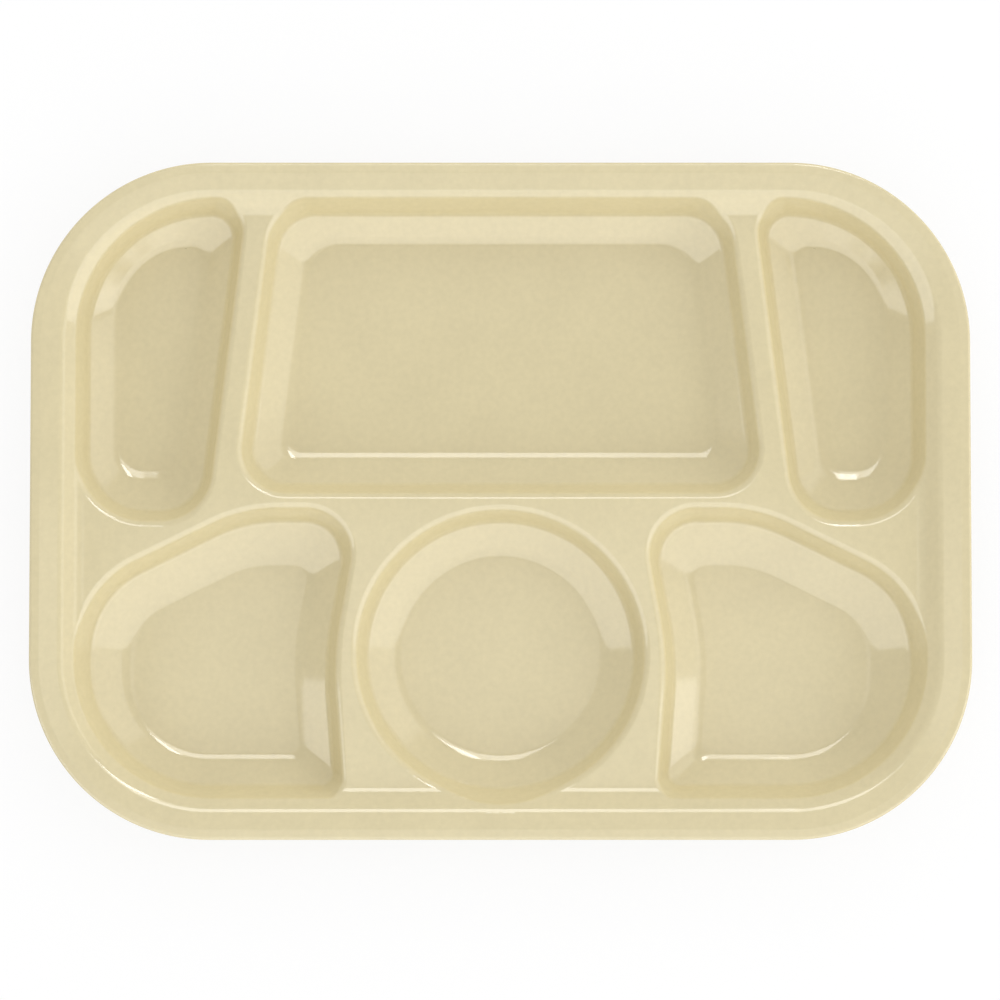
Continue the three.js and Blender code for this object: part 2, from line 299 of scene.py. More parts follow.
class Bowl:
    """Rim and deck as one surface whose height follows the distance in from the outer edge."""

    def __init__(self, outline: TrayOutline, section: RimSection, deck_z: float, shell: float) -> None:
        """Works out the surface's section.

        Args:
            outline: Outer outline of the tray.
            section: Section of the rim.
            deck_z: Height of the deck.
            shell: Thickness of the moulding.
        """
        self.outline = outline
        self.section = section
        self.deck_z = deck_z
        self.shell = shell
        self.insets, self.drops, self.slopes = section.stations().T
        self.foot_inset = float(self.insets[-1])
        self.crest_z = deck_z + float(self.drops[-1])

    def slope(self, plan: Plan) -> np.ndarray:
        """Downward slope towards the middle, in radians."""
        return np.interp(self.outline.inset(plan), self.insets, self.slopes)

    def top(self, plan: Plan) -> np.ndarray:
        """Height of the upper face."""
        return self.crest_z - np.interp(self.outline.inset(plan), self.insets, self.drops)

    def bottom(self, plan: Plan) -> np.ndarray:
        """Height of the lower face."""
        return self.top(plan) - self.shell / np.cos(self.slope(plan))

    def normal(self, plan: Plan) -> np.ndarray:
        """Unit normal of the upper face."""
        lean = np.tan(self.slope(plan))[:, None] * self.outline.inwards(plan)
        return unit(raised(lean, np.ones(len(plan))))

    def rise_along(self, plan: Plan, direction: Plan) -> np.ndarray:
        """Tangent of the upper face's rise along a plan direction."""
        return -np.tan(self.slope(plan)) * np.sum(self.outline.inwards(plan) * direction, axis=1)


class PieceMesh:
    """Vertices, faces and corner normals of one closed piece, in millimetres."""

    def __init__(self) -> None:
        """Starts with nothing in the mesh."""
        self.points: list[np.ndarray] = []
        self.count = 0
        self.faces: list[list[int]] = []
        self.normals: list[list[float]] = []

    def add_points(self, points: np.ndarray) -> np.ndarray:
        """Adds vertices.

        Args:
            points: Rows of x, y and z.

        Returns:
            The vertices' numbers.
        """
        numbers = np.arange(self.count, self.count + len(points))
        self.points.append(points)
        self.count += len(points)
        return numbers

    def add_faces(self, corners: np.ndarray, normals: np.ndarray) -> None:
        """Adds faces that all have the same number of corners.

        Args:
            corners: One row of vertex numbers for each face.
            normals: One normal for each corner of each face.
        """
        self.faces += corners.tolist()
        self.normals += normals.reshape(-1, 3).tolist()

    def add_strip(self, here: np.ndarray, ahead: np.ndarray, here_normals: np.ndarray,
                  ahead_normals: np.ndarray) -> None:
        """Adds the closed strip of faces between two rings.

        Args:
            here: Vertex numbers of the ring that the strip starts from.
            ahead: Vertex numbers of the next ring, further out on top or further in below.
            here_normals: Normals at the first ring.
            ahead_normals: Normals at the second ring.
        """
        corners = np.column_stack((here, ahead, np.roll(ahead, -1), np.roll(here, -1)))
        normals = np.stack((
            here_normals, ahead_normals,
            np.roll(ahead_normals, -1, axis=0), np.roll(here_normals, -1, axis=0),
        ), axis=1)
        self.add_faces(corners, normals)

    def to_object(self, name: str) -> bpy.types.Object:
        """Makes the Blender object.

        Args:
            name: Name of the piece.

        Returns:
            The object, linked to the scene.
        """
        mesh = bpy.data.meshes.new(name)
        mesh.from_pydata((np.concatenate(self.points) * METRE).tolist(), [], self.faces)
        mesh.shade_smooth()
        mesh.normals_split_custom_set(self.normals)
        piece = bpy.data.objects.new(name, mesh)
        bpy.context.scene.collection.objects.link(piece)
        return piece


class Wire:
    """An output socket that takes part in Python arithmetic."""

    def __init__(self, board: "Board", socket: bpy.types.NodeSocket) -> None:
        """Wraps a socket.

        Args:
            board: The node tree that the socket is in.
            socket: The output socket.
        """
        self.board = board
        self.socket = socket

    def __add__(self, other: "Value") -> "Wire":
        """Sum."""
        return self.board.math("ADD", self, other)

    def __radd__(self, other: "Value") -> "Wire":
        """Sum, with the number first."""
        return self.board.math("ADD", other, self)

    def __sub__(self, other: "Value") -> "Wire":
        """Difference."""
        return self.board.math("SUBTRACT", self, other)

    def __rsub__(self, other: "Value") -> "Wire":
        """Difference, with the number first."""
        return self.board.math("SUBTRACT", other, self)

    def __mul__(self, other: "Value") -> "Wire":
        """Product."""
        return self.board.math("MULTIPLY", self, other)

    def __rmul__(self, other: "Value") -> "Wire":
        """Product, with the number first."""
        return self.board.math("MULTIPLY", other, self)


Value = Union[Wire, float, tuple]


class Board:
    """A node tree, filled one node at a time."""

    def __init__(self, tree: bpy.types.NodeTree) -> None:
        """Takes over a node tree and empties it."""
        self.tree = tree
        tree.nodes.clear()

    def node(self, kind: str, settings: dict[str, Any], inputs: dict[Union[str, int], Value],
             output: Union[str, int] = 0) -> Wire:
        """Adds a node.

        Args:
            kind: The node's type.
            settings: Its own settings, which are set first.
            inputs: Values or links of its input sockets.
            output: The output socket to hand back.

        Returns:
            The output socket, or the last input of a node that has none.
        """
        node = self.tree.nodes.new(kind)
        for name, value in settings.items():
            setattr(node, name, value)
        for name, value in inputs.items():
            if isinstance(value, Wire):
                self.tree.links.new(value.socket, node.inputs[name])
            else:
                node.inputs[name].default_value = value
        return Wire(self, node.outputs[output] if node.outputs else node.inputs[-1])

    def math(self, operation: str, first: Value, second: Value) -> Wire:
        """One step of arithmetic on values."""
        return self.node("ShaderNodeMath", {"operation": operation}, {0: first, 1: second})

    def noise(self, place: Wire, scale: float, detail: float) -> Wire:
        """Noise from 0 to 1 at each place of the surface."""
        return self.node("ShaderNodeTexNoise", {}, {"Vector": place, "Scale": scale, "Detail": detail})

    def blend(self, share: Value, first: Value, second: Value) -> Wire:
        """Mixes two colours by a share from 0 to 1."""
        inputs = {MIX_SHARE: share, MIX_FIRST: first, MIX_SECOND: second}
        return self.node("ShaderNodeMix", {"data_type": "RGBA", "clamp_factor": True}, inputs, MIX_COLOUR)


@dataclass(frozen=True)
class Melamine:
    """Glossy tan melamine with faint clouds and grain; scales count waves in a metre."""

    slot: str = "melamine"
    colour: Colour = (0.662, 0.577, 0.348)
    cloud_scale: float = 34.0
    cloud_depth: float = 0.05
    grain_scale: float = 420.0
    grain_depth: float = 0.06
    shade_detail: float = 3.0
    shade_span: float = 0.22
    roughness: float = 0.09
    scuff_scale: float = 160.0
    scuff_detail: float = 6.0
    scuff_depth: float = 0.05
    ripple_scale: float = 55.0
    ripple_detail: float = 1.0
    ripple_height: float = 0.00002
    refraction: float = 1.55

    @cached_property
    def material(self) -> bpy.types.Material:
        """Makes the material on first use.

        Returns:
            The material.
        """
        material = bpy.data.materials.new(self.slot)
        material.use_nodes = True
        board = Board(material.node_tree)
        place = board.node("ShaderNodeTexCoord", {}, {}, "Object")
        clouds = board.noise(place, self.cloud_scale, self.shade_detail)
        grain = board.noise(place, self.grain_scale, self.shade_detail)
        scuffs = board.noise(place, self.scuff_scale, self.scuff_detail)
        ripple = board.noise(place, self.ripple_scale, self.ripple_detail)
        swing = 2 / self.shade_span
        share = 0.5 + (clouds - MID_NOISE) * (self.cloud_depth * swing) \
            + (grain - MID_NOISE) * (self.grain_depth * swing)
        deep = tuple(channel * (1 - self.shade_span / 2) for channel in self.colour)
        pale = tuple(channel * (1 + self.shade_span / 2) for channel in self.colour)
        tint = board.blend(share, (*deep, 1.0), (*pale, 1.0))
        bump = board.node("ShaderNodeBump", {}, {
            "Strength": 1.0, "Distance": self.ripple_height, "Height": ripple,
        })
        shader = board.node("ShaderNodeBsdfPrincipled", {}, {
            "Base Color": tint,
            "Roughness": self.roughness + (scuffs - MID_NOISE) * self.scuff_depth,
            "IOR": self.refraction,
            "Normal": bump,
        })
        board.node("ShaderNodeOutputMaterial", {}, {"Surface": shader})
        return material

    def dress(self, piece: bpy.types.Object, node: str) -> None:
        """Gives a piece this finish and its place in the frame.

        Args:
            piece: The piece to dress.
            node: The node that it stands for.
        """
        piece.data.materials.append(self.material)
        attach(piece, ROOT_BODY)
        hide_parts(node)
        LOG.info("%s: %d faces", piece.name, len(piece.data.polygons))


@dataclass(frozen=True)
class Corner:
    """Sharp corner of a well's lip, its roundings and the wall of the side that starts there."""

    x: float
    y: float
    rounds: Round
    wall: float


@dataclass(frozen=True)
class RoundedPolygon:
    """Closed outline with round corners."""

    corners: Plan
    radii: np.ndarray
    arc_steps: int = 24
    side_steps: int = 14

    def points(self) -> Plan:
        """Rounds every corner; two roundings share a side that is too short for both.

        Returns:
            Plan points, anticlockwise, with an even count on every arc and every side.
        """
        gap = np.roll(self.corners, -1, axis=0) - self.corners
        ahead = unit(gap)
        back = -np.roll(ahead, 1, axis=0)
        half = np.arccos(np.sum(back * ahead, axis=1)) / 2
        reach = self.radii / np.tan(half)
        share = np.minimum(1.0, np.linalg.norm(gap, axis=1) / (reach + np.roll(reach, -1)))
        reach = reach * np.minimum(share, np.roll(share, 1))
        centre = self.corners + unit(back + ahead) * (reach / np.cos(half))[:, None]
        start = self.corners + back * reach[:, None]
        turn = np.sign(cross_plan(ahead, back)) * (math.pi - 2 * half)
        arcs = [self.arc(*row) for row in zip(start, centre, turn)]
        along = np.linspace(0.0, 1.0, self.side_steps + 1)[1:-1, None]
        points = []
        for arc, following in zip(arcs, arcs[1:] + arcs[:1]):
            points += [arc, arc[-1] + along * (following[0] - arc[-1])]
        return np.concatenate(points)

    def arc(self, start: Plan, centre: Plan, turn: float) -> Plan:
        """Points of one rounding.

        Args:
            start: First point.
            centre: Centre of the arc.
            turn: Angle that the arc turns through, in radians.

        Returns:
            Plan points, both ends included.
        """
        angle = np.linspace(0.0, turn, self.arc_steps + 1)
        x, y = start - centre
        return centre + np.column_stack((
            x * np.cos(angle) - y * np.sin(angle), x * np.sin(angle) + y * np.cos(angle),
        ))


@dataclass(frozen=True)
class WellPlan:
    """Lip and floor outlines of a well, point for point."""

    lip: Plan
    floor: Plan

    @classmethod
    def from_corners(cls, corners: list[Corner]) -> "WellPlan":
        """Outlines of a well with straight sides; each side moves in by its own wall.

        Args:
            corners: Sharp corners of the lip, anticlockwise.

        Returns:
            The outlines.
        """
        lip = np.array([(corner.x, corner.y) for corner in corners])
        walls = np.array([[corner.wall] for corner in corners])
        rounds = np.array([corner.rounds for corner in corners])
        along = unit(np.roll(lip, -1, axis=0) - lip)
        starts = lip + np.column_stack((-along[:, 1], along[:, 0])) * walls
        before = np.roll(starts, 1, axis=0)
        along_before = np.roll(along, 1, axis=0)
        reach = cross_plan(starts - before, along) / cross_plan(along_before, along)
        floor = before + along_before * reach[:, None]
        return cls(RoundedPolygon(lip, rounds[:, 0]).points(), RoundedPolygon(floor, rounds[:, 1]).points())

    def mirrored(self) -> "WellPlan":
        """The same well on the other side of the tray."""
        flip = np.array([-1.0, 1.0])
        return WellPlan(self.lip[::-1] * flip, self.floor[::-1] * flip)


@dataclass(frozen=True)
class WallSection:
    """Section of every well's wall: fold at the floor, lower slope, bend, upper slope and lip.

    Angles are in degrees.
    """

    floor_z: float
    depth: float
    fold_radius: float = 9.0
    lower_angle: float = 29.0
    lower_run: float = 7.4
    bend_radius: float = 5.0
    angle: float = 66.0
    lip_radius: float = 3.2
    fold_steps: int = 14
    bend_steps: int = 10
    wall_steps: int = 3
    lip_steps: int = 10
    collar_steps: int = 3

    @property
    def lean(self) -> float:
        """Angle of the wall before it is stretched, in radians."""
        return math.radians(self.angle)

    def curve(self) -> np.ndarray:
        """Stations from the floor's edge up to the upper slope, before they are stretched.

        Returns:
            Rows of run, rise and slope in radians.
        """
        turn = math.radians(self.lower_angle)
        fold = np.linspace(0.0, turn, self.fold_steps + 1)
        bend = np.linspace(turn, self.lean, self.bend_steps + 1)
        fold_run = self.fold_radius * np.sin(fold)
        fold_rise = self.fold_radius * (1 - np.cos(fold))
        bend_run = fold_run[-1] + self.lower_run + self.bend_radius * (np.sin(bend) - math.sin(turn))
        bend_rise = fold_rise[-1] + self.lower_run * math.tan(turn) \
            + self.bend_radius * (math.cos(turn) - np.cos(bend))
        return np.column_stack((
            np.concatenate((fold_run, bend_run)),
            np.concatenate((fold_rise, bend_rise)),
            np.concatenate((fold, bend)),
        ))

    @property
    def run(self) -> float:
        """Plan width of the wall before it is stretched."""
        run, rise, _ = self.curve()[-1]
        return float(run + (self.depth - rise) / math.tan(self.lean))


@dataclass(frozen=True)
class Station:
    """One line round a wall: run out from the floor's edge, height, and slope in radians at each point."""

    run: np.ndarray
    z: np.ndarray
    slope: np.ndarray


class WallSurface:
    """Both faces of a well's wall, along one plan line for each point of its outlines."""

    def __init__(self, plan: WellPlan, section: WallSection, bowl: Bowl) -> None:
        """Works out the sections.

        Args:
            plan: Outlines of the well.
            section: Section of the wall, stretched in plan to the wall's own width.
            bowl: The surface that the lip meets.
        """
        self.section = section
        self.bowl = bowl
        self.floor = plan.floor
        self.width = np.linalg.norm(plan.lip - plan.floor, axis=1)
        self.outwards = unit(plan.lip - plan.floor)
        self.stretch = self.width / section.run
        self.rise = math.tan(section.lean) / self.stretch
        self.lean = np.arctan(self.rise)
        self.lip_run = self.width + self._climb()
        self.collar_run = self.lip_run + section.lip_radius * np.tan(self.lean / 2) + HALF_SEAM
        self.lip_end, self.deck_slope, self.crossing = self._round_lip()
        stations = self._stations()
        self.upper, self.upper_normals = self._upper_face(stations)
        self.lower, self.lower_normals = self._lower_face(stations)

    def at(self, run: np.ndarray) -> Plan:
        """Plan points at a distance out from the floor's edge, one on each line."""
        return self.floor + self.outwards * np.broadcast_to(run, len(self.floor))[:, None]

    @property
    def collar(self) -> Plan:
        """Closed line where the wall ends on the rim and the deck."""
        return self.at(self.collar_run)

    @property
    def floor_edge(self) -> Plan:
        """Closed line where the floor ends."""
        return self.at(np.full(len(self.floor), -HALF_SEAM))

    def _climb(self) -> np.ndarray:
        """How far past the lip at deck height the straight wall runs before it meets the bowl."""
        zero = np.zeros(len(self.floor))
        return bisect(zero, zero + self.bowl.foot_inset, lambda past: (
            self.bowl.deck_z + past * self.rise > self.bowl.top(self.at(self.width + past))
        ))

    def _lip_at(self, past: np.ndarray) -> tuple[np.ndarray, np.ndarray, np.ndarray]:
        """Tangents of a round lip that ends on the bowl.

        Args:
            past: How far past the sharp lip it ends, on each line.

        Returns:
            Run where the lip ends, the bowl's slope there, and the run where the two tangents cross.
        """
        end = self.lip_run + past
        rise = self.bowl.rise_along(self.at(end), self.outwards)
        crossing = (self.bowl.top(self.at(end)) - rise * end - self.bowl.deck_z
                    + self.width * self.rise) / (self.rise - rise)
        return end, np.arctan(rise), crossing

    def _lip_tangent(self, deck_slope: np.ndarray) -> np.ndarray:
        """Length from the crossing of a lip's two tangents to either end of the lip."""
        return self.section.lip_radius * np.tan((self.lean - deck_slope) / 2)

    def _round_lip(self) -> tuple[np.ndarray, np.ndarray, np.ndarray]:
        """Fits the round lip between the straight wall and the bowl.

        Returns:
            Run, slope and crossing of the lip that has the wanted radius, as `_lip_at` gives them.
        """
        def too_wide(past: np.ndarray) -> np.ndarray:
            """Tells where a lip that ends so far out has more than the wanted radius."""
            end, slope, crossing = self._lip_at(past)
            return (end - crossing) / np.cos(slope) > self._lip_tangent(slope)

        zero = np.zeros(len(self.floor))
        return self._lip_at(bisect(zero, zero + 2 * self.section.lip_radius, too_wide))

    def _stations(self) -> list[Station]:
        """Lays the stations of the upper face.

        Returns:
            The stations, from the floor's edge to the end of the lip.
        """
        part = self.section
        level = np.ones(len(self.floor))
        tangent = self._lip_tangent(self.deck_slope)
        top_run = self.crossing - tangent * np.cos(self.lean)
        top_z = self.bowl.deck_z + (top_run - self.width) * self.rise
        stations = [Station(-HALF_SEAM * level, part.floor_z * level, 0 * level)]
        for run, rise, slope in part.curve():
            stations.append(Station(
                run * self.stretch,
                (part.floor_z + rise) * level,
                np.arctan(math.tan(slope) / self.stretch),
            ))
        foot = stations[-1]
        for share in np.linspace(0.0, 1.0, part.wall_steps + 1)[1:-1]:
            stations.append(Station(
                foot.run + (top_run - foot.run) * share,
                foot.z + (top_z - foot.z) * share,
                self.lean,
            ))
        for share in np.linspace(0.0, 1.0, part.lip_steps + 1):
            slope = self.lean + (self.deck_slope - self.lean) * share
            stations.append(Station(
                top_run + part.lip_radius * (np.sin(self.lean) - np.sin(slope)),
                top_z + part.lip_radius * (np.cos(slope) - np.cos(self.lean)),
                slope,
            ))
        return stations

    def _along(self, stations: list[Station]) -> np.ndarray:
        """Directions up the wall at the stations."""
        return np.stack([
            raised(self.outwards * np.cos(line.slope)[:, None], np.sin(line.slope)) for line in stations
        ], axis=1)

    def _upper_face(self, stations: list[Station]) -> tuple[np.ndarray, np.ndarray]:
        """Works out the upper face, from the floor's edge past the lip to the collar.

        Args:
            stations: Stations of the face, up to the end of the lip.

        Returns:
            Points and normals, with the rings along the first axis.
        """
        wall = np.stack([raised(self.at(line.run), line.z) for line in stations], axis=1)
        normals = unit(np.cross(self._along(stations), ring_tangents(wall)))
        normals[:, -1] = self.bowl.normal(self.at(self.lip_end))
        shares = np.linspace(0.0, 1.0, self.section.collar_steps + 1)[1:]
        plans = [self.at(self.lip_end + (self.collar_run - self.lip_end) * share) for share in shares]
        collar = np.stack([raised(plan, self.bowl.top(plan)) for plan in plans], axis=1)
        collar_normals = np.stack([self.bowl.normal(plan) for plan in plans], axis=1)
        return np.concatenate((wall, collar), axis=1), np.concatenate((normals, collar_normals), axis=1)

    def _lower_face(self, stations: list[Station]) -> tuple[np.ndarray, np.ndarray]:
        """Works out the lower face, which runs straight to the collar from half-way round the lip.

        Args:
            stations: Stations of the upper face, up to the end of the lip.

        Returns:
            Points and normals, with the rings along the first axis.
        """
        shell = self.bowl.shell
        kept = stations[:len(stations) - self.section.lip_steps // 2]
        wall = np.stack([
            raised(self.at(line.run + shell * np.sin(line.slope)), line.z - shell * np.cos(line.slope))
            for line in kept
        ], axis=1)
        normals = -unit(np.cross(self._along(kept), ring_tangents(wall)))
        collar = raised(self.collar, self.bowl.bottom(self.collar))[:, None]
        collar_normals = -self.bowl.normal(self.collar)[:, None]
        return np.concatenate((wall, collar), axis=1), np.concatenate((normals, collar_normals), axis=1)

    def mesh(self) -> PieceMesh:
        """Closes the two faces into one piece.

        Returns:
            The wall's mesh.
        """
        piece = PieceMesh()
        out = raised(self.outwards, np.zeros(len(self.floor)))
        points = np.concatenate((self.upper, self.lower[:, ::-1]), axis=1)
        normals = np.concatenate((self.upper_normals, self.lower_normals[:, ::-1]), axis=1)
        rings = [piece.add_points(points[:, station]) for station in range(points.shape[1])]
        turn = self.upper.shape[1] - 1
        for station, ring in enumerate(rings):
            following = (station + 1) % len(rings)
            if station == turn:
                piece.add_strip(ring, rings[following], out, out)
            elif following == 0:
                piece.add_strip(ring, rings[following], -out, -out)
            else:
                piece.add_strip(ring, rings[following], normals[:, station], normals[:, following])
        return piece


@dataclass(frozen=True)
class WellField:
    """Places that the wells share: the webs between them, given at the sharp lips."""

    outline: TrayOutline
    side_inset: float = 17.1
    far_inset: float = 14.7
    near_inset: float = 16.3
    cup_near_inset: float = 14.8
    main_near_y: float = 2.4
    row_web: float = 4.8
    cup_far_web: float = 5.9
    cup_side_web: float = 7.95
    side_web: float = 9.0
    side_web_from_edge: float = 64.45
    side_web_y: float = 76.0
    side_web_lean: float = 0.124
    side_near_y: float = -8.4
    corner_far_run: float = 45.1
    corner_far_flare: float = 10.5
    corner_outer_y: float = -33.4

    @property
    def x(self) -> float:
        """Distance of the outer lips from the middle."""
        return self.outline.width / 2 - self.side_inset

    @property
    def far_y(self) -> float:
        """Far lips."""
        return self.outline.depth / 2 - self.far_inset

    @property
    def near_y(self) -> float:
        """Near lips."""
        return self.near_inset - self.outline.depth / 2

    @property
    def far_round(self) -> float:
        """Corner radius of the lips on the far side."""
        return self.outline.corner_radius - (self.side_inset + self.far_inset) / 2

    @property
    def near_round(self) -> float:
        """Corner radius of the lips on the near side."""
        return self.outline.corner_radius - (self.side_inset + self.near_inset) / 2

    @property
    def cup_radius(self) -> float:
        """Radius of the round well."""
        return (self.main_near_y - self.cup_far_web + self.outline.depth / 2 - self.cup_near_inset) / 2

    @property
    def cup_y(self) -> float:
        """Middle of the round well."""
        return self.main_near_y - self.cup_far_web - self.cup_radius

    @property
    def waist_x(self) -> float:
        """Side of a corner well where it passes the middle of the round well."""
        return self.cup_radius + self.cup_side_web

    @property
    def corner_far_y(self) -> float:
        """Far side of the corner wells."""
        return self.main_near_y - self.row_web

    @property
    def corner_bend_x(self) -> float:
        """Where the far side of a corner well bends into its sloping side."""
        return self.waist_x - self.corner_far_flare + self.corner_far_run

    def side_web_x(self, y: float, offset: float) -> float:
        """Middle line of the web beside the main well, moved sideways by an offset."""
        middle = self.x - self.side_web_from_edge + (self.side_web_y - y) * self.side_web_lean
        return middle + offset * math.hypot(1, self.side_web_lean)


@dataclass
class Well:
    """A compartment: its wall and its floor."""

    name: WellName
    field: WellField
    section: WallSection
    bowl: Bowl

    def plan(self) -> WellPlan:
        """Lip and floor outlines of this kind of well."""
        raise NotImplementedError

    @cached_property
    def wall(self) -> WallSurface:
        """The wall, from the floor's edge to the collar."""
        return WallSurface(self.plan(), self.section, self.bowl)

    def floor_mesh(self) -> PieceMesh:
        """Flat floor inside the wall's foot.

        Returns:
            The floor's mesh.
        """
        piece = PieceMesh()
        edge = self.wall.floor_edge
        up = np.tile((0.0, 0.0, 1.0), (len(edge), 1))
        out = raised(self.wall.outwards, np.zeros(len(edge)))
        top = piece.add_points(raised(edge, self.section.floor_z))
        bottom = piece.add_points(raised(edge, self.section.floor_z - self.bowl.shell))
        piece.add_faces(top[None], up[None])
        piece.add_faces(bottom[None, ::-1], -up[None])
        piece.add_strip(top, bottom, out, out)
        return piece

    def build(self, finish: Melamine) -> None:
        """Makes and dresses the two pieces.

        Args:
            finish: The finish of the moulding.
        """
        for part, mesh in (("wall", self.wall.mesh()), ("floor", self.floor_mesh())):
            node = f"{self.name.value}_{part}"
            finish.dress(mesh.to_object(f"moulded_{node}"), node)


@dataclass
class MainWell(Well):
    """The large well on the far side."""

    near_wall: float = 17.1
    side_wall: float = 17.5
    far_wall: float = 14.7
    near_round: Round = (17.0, 5.0)
    far_round: Round = (17.0, 12.0)

    def plan(self) -> WellPlan:
        """Draws the lip and the floor.

        Returns:
            Their outlines.
        """
        place = self.field
        near_x = place.side_web_x(place.main_near_y, -place.side_web / 2)
        far_x = place.side_web_x(place.far_y, -place.side_web / 2)
        return WellPlan.from_corners([
            Corner(-near_x, place.main_near_y, self.near_round, self.near_wall),
            Corner(near_x, place.main_near_y, self.near_round, self.side_wall),
            Corner(far_x, place.far_y, self.far_round, self.far_wall),
            Corner(-far_x, place.far_y, self.far_round, self.side_wall),
        ])


@dataclass
class SideWell(Well):
    """A long well beside the main one."""

    near_wall: float = 21.0
    inner_wall: float = 16.1
    far_wall: float = 15.8
    outer_wall: float = 15.4
    near_outer_round: Round = (26.0, 9.0)
    near_inner_round: Round = (20.0, 8.0)
    far_inner_round: Round = (11.0, 6.0)
    far_outer_floor_round: float = 28.0

    def plan(self) -> WellPlan:
        """Draws the lip and the floor.

        Returns:
            Their outlines.
        """
        place = self.field
        near_y = place.side_near_y
        near_x = place.side_web_x(near_y, place.side_web / 2)
        far_x = place.side_web_x(place.far_y, place.side_web / 2)
        left = WellPlan.from_corners([
            Corner(-place.x, near_y, self.near_outer_round, self.near_wall),
            Corner(-near_x, near_y, self.near_inner_round, self.inner_wall),
            Corner(-far_x, place.far_y, self.far_inner_round, self.far_wall),
            Corner(-place.x, place.far_y, (place.far_round, self.far_outer_floor_round), self.outer_wall),
        ])
        return left if self.name is WellName.LEFT_SIDE else left.mirrored()


@dataclass
class CornerWell(Well):
    """A well in a near corner, with a hollow side that follows the round well."""

    near_wall: float = 16.4
    inner_wall: float = 16.6
    far_wall: float = 22.6
    slope_wall: float = 20.8
    outer_wall: float = 21.1
    near_flare: float = 4.1
    near_inner_round: Round = (6.5, 4.0)
    waist_round: Round = (115.0, 100.0)
    far_inner_round: Round = (18.0, 5.0)
    bend_round: Round = (60.0, 36.0)
    outer_round: Round = (39.0, 20.0)
    near_outer_floor_round: float = 28.0

    def plan(self) -> WellPlan:
        """Draws the lip and the floor.

        Returns:
            Their outlines.
        """
        place = self.field
        near_outer_round = (place.near_round, self.near_outer_floor_round)
        far_x = place.waist_x - place.corner_far_flare
        left = WellPlan.from_corners([
            Corner(-place.x, place.near_y, near_outer_round, self.near_wall),
            Corner(self.near_flare - place.waist_x, place.near_y, self.near_inner_round, self.inner_wall),
            Corner(-place.waist_x, place.cup_y, self.waist_round, self.inner_wall),
            Corner(-far_x, place.corner_far_y, self.far_inner_round, self.far_wall),
            Corner(-place.corner_bend_x, place.corner_far_y, self.bend_round, self.slope_wall),
            Corner(-place.x, place.corner_outer_y, self.outer_round, self.outer_wall),
        ])
        return left if self.name is WellName.LEFT_CORNER else left.mirrored()


@dataclass
class CupWell(Well):
    """The round well."""

    wall_width: float = 17.55
    steps: int = 192

    def plan(self) -> WellPlan:
        """Draws the lip and the floor.

        Returns:
            Their outlines.
        """
        angle = np.arange(self.steps) * 2 * math.pi / self.steps
        circle = np.column_stack((np.cos(angle), np.sin(angle)))
        middle = np.array([0.0, self.field.cup_y])
        radius = self.field.cup_radius
        return WellPlan(middle + radius * circle, middle + (radius - self.wall_width) * circle)


